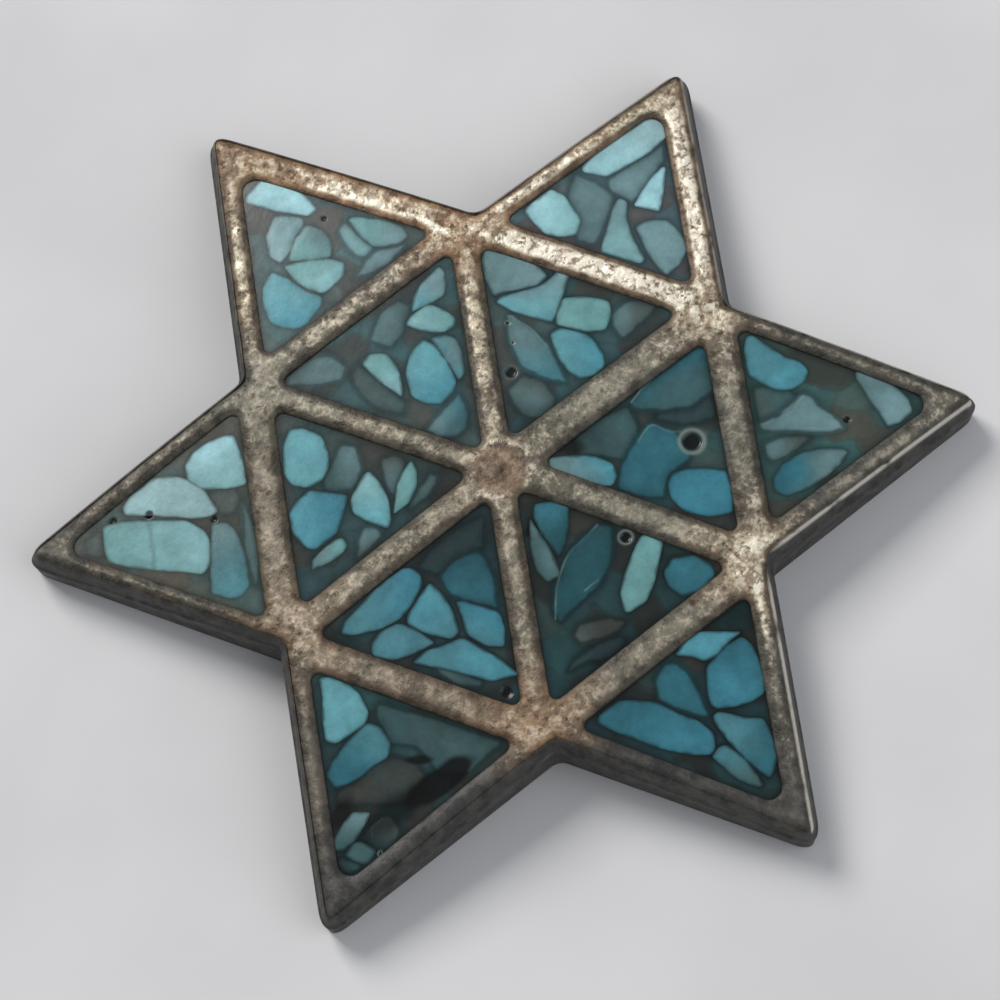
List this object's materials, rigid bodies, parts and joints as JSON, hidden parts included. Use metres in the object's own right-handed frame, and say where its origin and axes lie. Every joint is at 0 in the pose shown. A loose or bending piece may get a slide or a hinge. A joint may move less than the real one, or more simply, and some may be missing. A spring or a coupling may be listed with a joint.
{
  "type": "star of david pendant",
  "caption": "Six-pointed star pendant of cast metal, with three-cornered cells of stone chips in dark resin and a tube on its hollow back for a chain.",
  "frame": {"origin": "centre of the star at the level of its back rim, on which it lies", "axes": "+Z out of the face, +Y to the top point, +X to the right seen from the face"},
  "size_m": [0.0449, 0.0515, 0.0044],
  "materials": {
    "star_metal": "antiqued cast metal, pitted, worn bright on the bars and dark grey-brown in the pits",
    "bail_metal": "drawn tube, dull and antiqued",
    "resin": "poured resin, smoky dark grey-green, glossy, with small bubbles and faint cracks",
    "stone": "crushed turquoise-blue stone chips, from pale aqua to dull grey-green, flush in the resin or sunk into it"
  },
  "bodies": {
    "root": {"star_frame": "star_metal", "back_bail": "bail_metal", "point_resin_1": "resin", "point_resin_2": "resin", "point_resin_3": "resin", "point_resin_4": "resin", "point_resin_5": "resin", "point_resin_6": "resin", "point_chips_1": "stone", "point_chips_2": "stone", "point_chips_3": "stone", "point_chips_4": "stone", "point_chips_5": "stone", "point_chips_6": "stone", "inner_resin_1": "resin", "inner_resin_2": "resin", "inner_resin_3": "resin", "inner_resin_4": "resin", "inner_resin_5": "resin", "inner_resin_6": "resin", "inner_chips_1": "stone", "inner_chips_2": "stone", "inner_chips_3": "stone", "inner_chips_4": "stone", "inner_chips_5": "stone", "inner_chips_6": "stone"}
  },
  "joints": []
}
